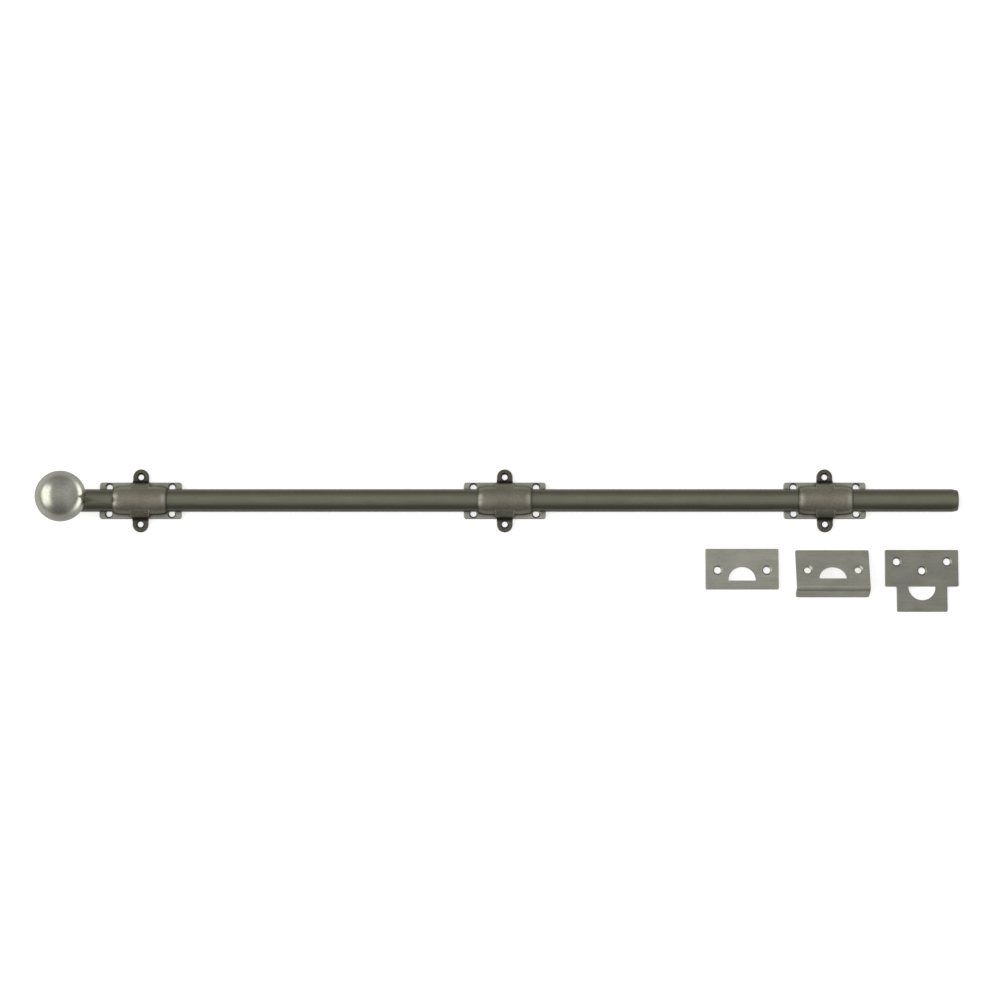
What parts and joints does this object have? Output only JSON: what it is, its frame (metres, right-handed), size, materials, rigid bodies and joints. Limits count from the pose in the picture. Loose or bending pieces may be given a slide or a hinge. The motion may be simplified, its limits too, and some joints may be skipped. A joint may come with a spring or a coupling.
{
  "type": "surface bolt",
  "caption": "Half-round surface bolt: a long rod with a ball knob slides in screw-on guides, with a flat, an angle and a tee strike plate.",
  "frame": {"origin": "centre of the middle guide's back, on the face of the door", "axes": "+X along the rod towards its tip, +Z out of the door, +Y across the rod away from the strikes"},
  "size_m": [0.6371, 0.0993, 0.0475],
  "materials": {
    "rod_nickel": "antique nickel plate over brass, brushed along its length",
    "knob_nickel": "antique nickel plate over brass, buffed to a soft shine",
    "plate_nickel": "antique nickel plate over brass, satin",
    "cover_nickel": "antique nickel plate over cast brass, satin",
    "strike_nickel": "brushed nickel plate over brass, fine straight grain",
    "screw_steel": "plain steel, turned",
    "pin_steel": "plain steel, ground",
    "spring_bronze": "phosphor bronze strip"
  },
  "bodies": {
    "guides": {"base_plate_left": "plate_nickel", "guide_cover_left": "cover_nickel", "cover_screws_left": "screw_steel", "base_plate_middle": "plate_nickel", "guide_cover_middle": "cover_nickel", "cover_screws_middle": "screw_steel", "base_plate_right": "plate_nickel", "guide_cover_right": "cover_nickel", "cover_screws_right": "screw_steel", "friction_spring_left": "spring_bronze", "friction_spring_right": "spring_bronze", "throw_stop_pin": "pin_steel", "strike_flat": "strike_nickel", "strike_angle": "strike_nickel", "strike_tee": "strike_nickel"},
    "bolt": {"bolt_rod": "rod_nickel", "ball_knob": "knob_nickel", "knob_collar": "knob_nickel", "knob_screw": "screw_steel"}
  },
  "joints": [
    {"name": "rod_slide", "type": "slide", "parent": "guides", "child": "bolt", "axis": [1, 0, 0], "range_m": [-0.0508, 0]}
  ]
}
